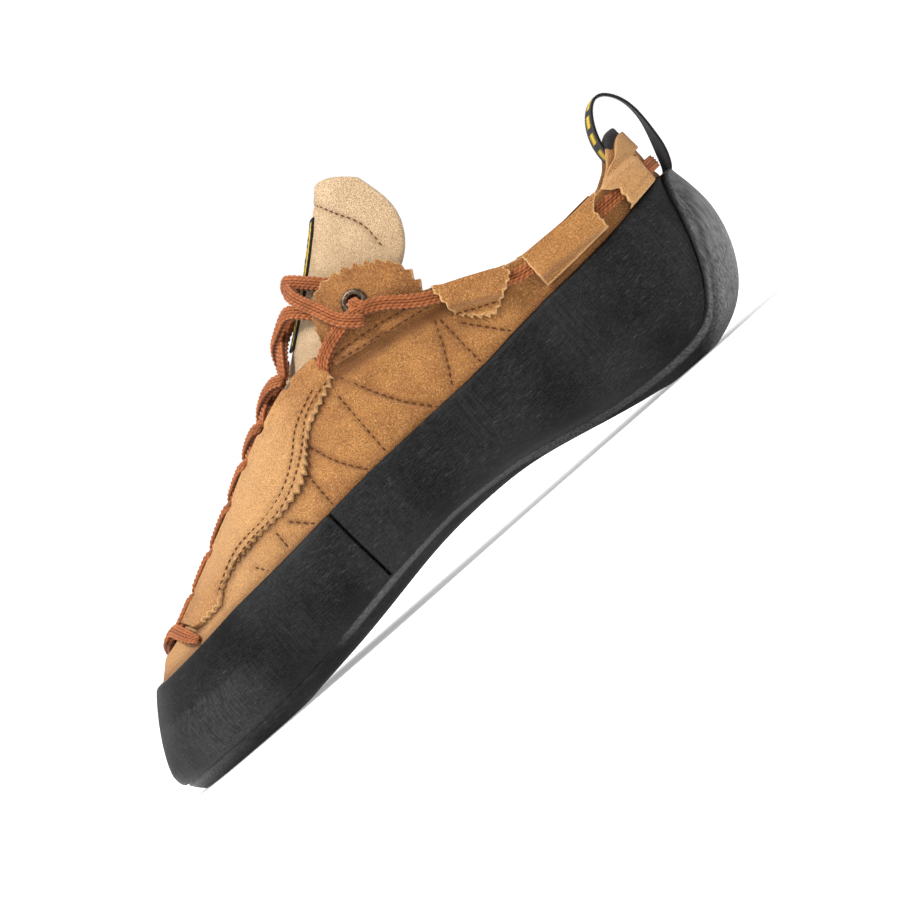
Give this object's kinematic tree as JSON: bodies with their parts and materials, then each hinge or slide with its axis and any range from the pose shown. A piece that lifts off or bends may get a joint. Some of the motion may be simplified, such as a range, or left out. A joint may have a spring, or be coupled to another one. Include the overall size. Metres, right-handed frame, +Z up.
{
  "type": "climbing shoe",
  "caption": "Left lace-up climbing shoe of tan suede with black toe, side and heel rubber, an arched smooth sole, pinked overlays, rust lace, pale tongue and a heel pull loop.",
  "frame": {"origin": "middle of the floor rectangle under the whole shoe, on the floor plane", "axes": "+X toe to heel, +Y to the medial side, +Z up"},
  "size_m": [0.2454, 0.0822, 0.1199],
  "materials": {
    "rubber": "satin smooth black rubber",
    "suede": "napped tan suede",
    "pale_suede": "napped beige suede",
    "board": "matt brown board",
    "lace": "ribbed rust braid",
    "webbing": "flat black weave with plain yellow dashes",
    "metal": "dark metal"
  },
  "bodies": {
    "root": {"outsole": "rubber", "rand_toe": "rubber", "rand_heel_lateral": "rubber", "rand_heel_medial": "rubber", "upper": "suede", "insole": "board", "tongue": "pale_suede", "tongue_label": "webbing", "eyestay_lateral": "suede", "eyestay_medial": "suede", "ankle_flap_lateral": "suede", "ankle_flap_medial": "suede", "eyelet_lateral": "metal", "eyelet_medial": "metal", "tunnel_front_lateral": "suede", "tunnel_front_medial": "suede", "tunnel_rear_lateral": "suede", "tunnel_rear_medial": "suede", "heel_tab": "suede", "lace_front": "lace", "lace_ankle": "lace", "lace_heel": "lace", "pull_loop": "webbing"}
  },
  "joints": []
}
